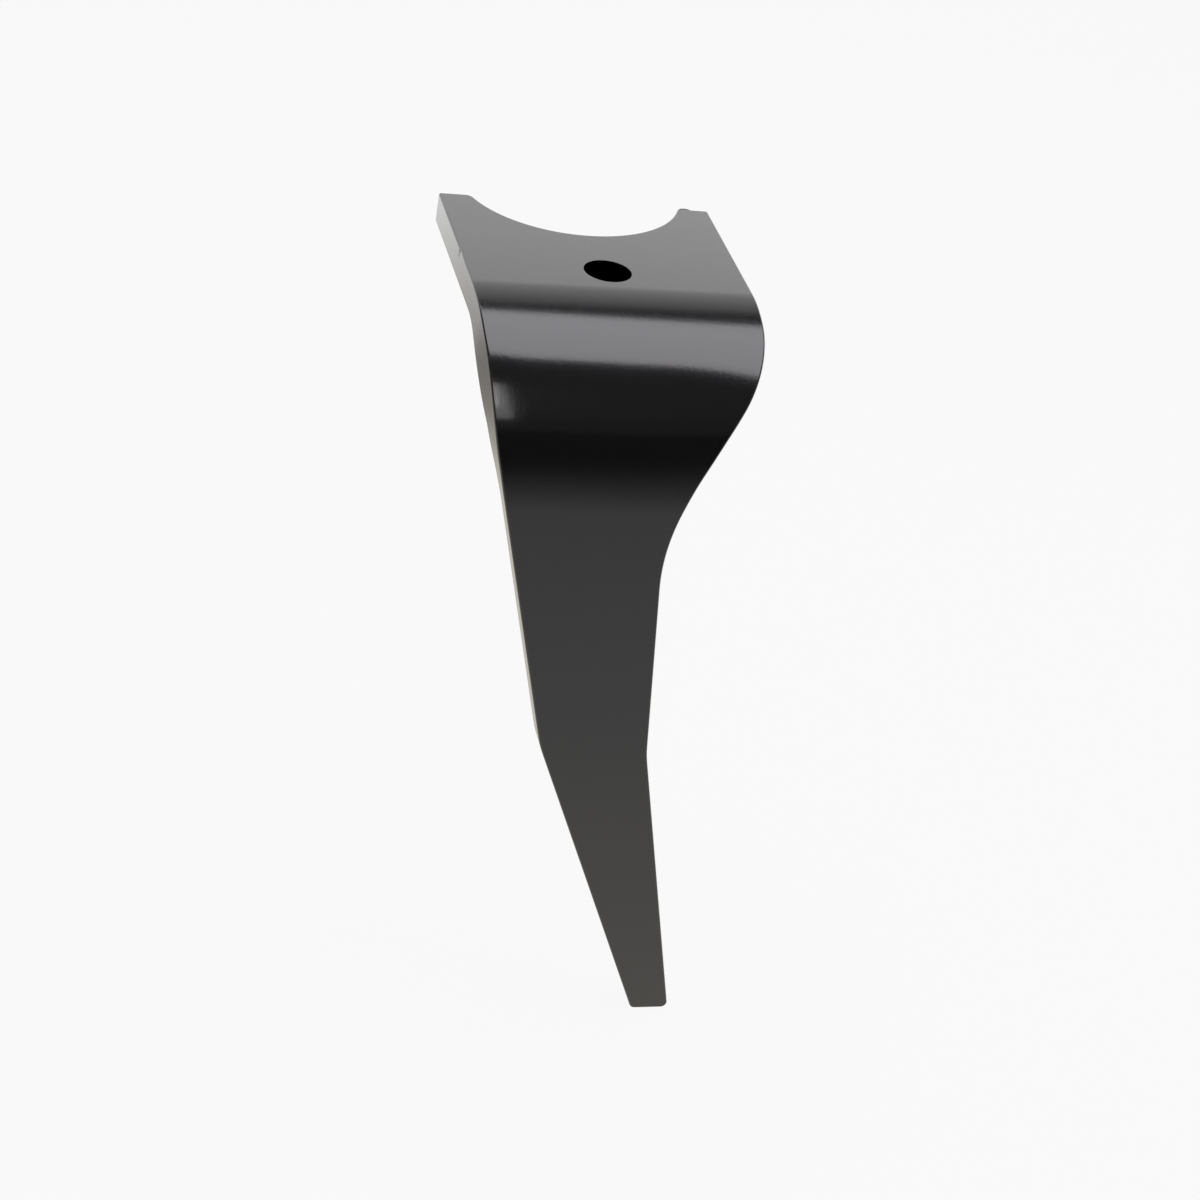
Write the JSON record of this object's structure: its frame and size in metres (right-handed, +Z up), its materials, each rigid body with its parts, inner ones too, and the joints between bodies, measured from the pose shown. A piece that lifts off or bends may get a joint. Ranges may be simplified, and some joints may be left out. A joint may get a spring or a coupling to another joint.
{
  "type": "rotary tiller blade",
  "caption": "Forged steel soil-working blade: a flat palm with a hub notch and bolt hole, bent a quarter turn into a tapering, kinked tine.",
  "frame": {"origin": "centre of the bolt hole on the palm's top face", "axes": "+Z up out of the palm's top face along the bolt hole, +Y from the bolt hole towards the hub notch, +X along the bend line; the blade hangs down along -Z"},
  "size_m": [0.1167, 0.1293, 0.3123],
  "materials": {
    "blade": "gloss black paint over forged steel, slightly rippled"
  },
  "bodies": {
    "root": {"blade": "blade"}
  },
  "joints": []
}
